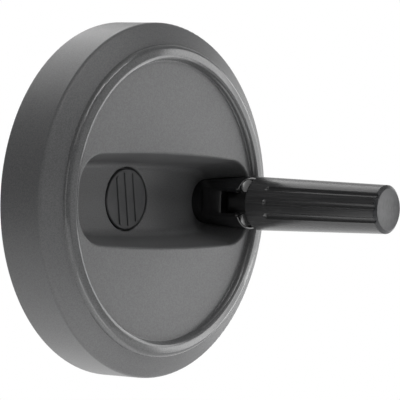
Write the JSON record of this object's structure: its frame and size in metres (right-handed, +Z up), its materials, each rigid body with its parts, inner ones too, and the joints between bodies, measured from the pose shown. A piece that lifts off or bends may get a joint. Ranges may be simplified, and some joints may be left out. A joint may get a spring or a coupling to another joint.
{
  "type": "disc handwheel with fold-away revolving grip",
  "caption": "Solid disc handwheel with a raised ring, a long recess across its face and a black revolving grip that pulls out and folds down into the recess.",
  "frame": {"origin": "centre of the shaft bore at the hub's back face", "axes": "+Y along the bore axis out of the hub's back, towards the machine; the wheel's face and the grip point to -Y; the grip's post stands on +X; +Z up"},
  "size_m": [0.16, 0.1313, 0.16],
  "materials": {
    "wheel_plastic": "satin moulded",
    "cap_plastic": "fine matte",
    "gloss_black": "polished",
    "nose_plastic": "smooth moulded",
    "dark_steel": "blackened",
    "zinc_steel": "zinc plated",
    "spring_steel": "drawn wire"
  },
  "bodies": {
    "wheel": {"wheel_body": "wheel_plastic", "hub_bush": "dark_steel", "hub_grub_screw": "dark_steel", "hub_cap": "cap_plastic", "grip_post": "gloss_black", "post_washer": "zinc_steel", "post_screw": "zinc_steel", "pivot_pin": "zinc_steel"},
    "arm": {"swivel_spindle": "dark_steel", "spindle_washer": "zinc_steel", "spindle_nut": "zinc_steel", "pull_spring": "spring_steel"},
    "carriage": {"guide_tube": "nose_plastic", "retaining_ring": "spring_steel", "slip_washer": "nose_plastic"},
    "grip": {"grip_sleeve": "gloss_black", "grip_end_cap": "cap_plastic"}
  },
  "joints": [
    {"name": "handle_fold", "type": "hinge", "parent": "wheel", "child": "arm", "pos_m": [0.0583, -0.0474, 0], "axis": [0, 0, -1], "range_deg": [0, 90]},
    {"name": "grip_pull", "type": "slide", "parent": "arm", "child": "carriage", "axis": [0, -1, 0], "range_m": [0, 0.0105], "deforming": ["pull_spring"]},
    {"name": "grip_spin", "type": "hinge", "parent": "carriage", "child": "grip", "pos_m": [0.0583, -0.09, 0], "axis": [0, -1, 0], "continuous": true}
  ],
  "couplings": [
    {"joint": "grip_pull", "follows": "handle_fold", "m_per_rad": 0.0065}
  ]
}
